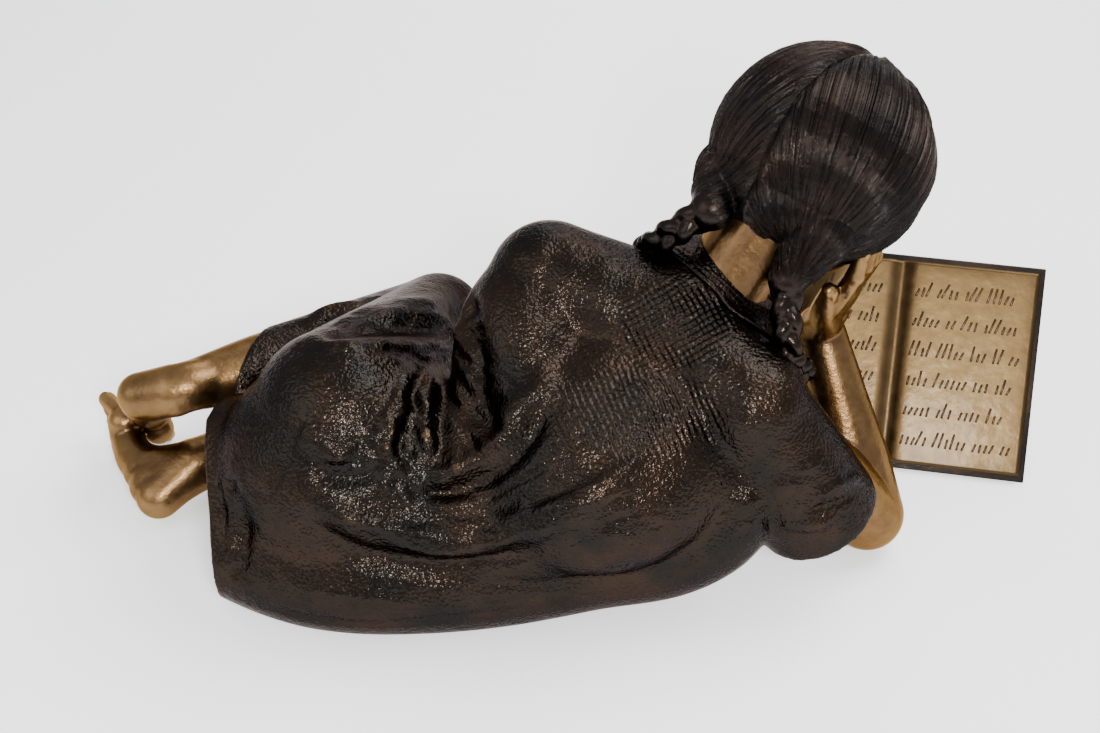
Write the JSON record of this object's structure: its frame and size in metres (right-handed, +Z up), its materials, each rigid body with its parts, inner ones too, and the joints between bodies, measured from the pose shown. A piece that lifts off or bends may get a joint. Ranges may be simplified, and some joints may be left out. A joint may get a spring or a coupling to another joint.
{
  "type": "reading girl statue",
  "caption": "Life-size cast bronze garden statue of a girl lying on her side, head propped on one hand, reading an open book that leans on the ground.",
  "frame": {"origin": "on the ground, under the middle of the statue's bounding box", "axes": "+X from the feet towards the head and the book, +Y away from the viewer who sees her back, +Z up"},
  "size_m": [0.9229, 0.4032, 0.4405],
  "materials": {
    "figure_bronze": "dark brown waxed patina, rubbed golden on the fold edges",
    "skin_bronze": "golden brown satin bronze",
    "hair_bronze": "near-black glossy patina with fine tooled strands",
    "book_bronze": "satin golden bronze pages in dark covers"
  },
  "bodies": {
    "root": {"reading_girl": "figure_bronze", "open_book": "book_bronze"}
  },
  "joints": []
}
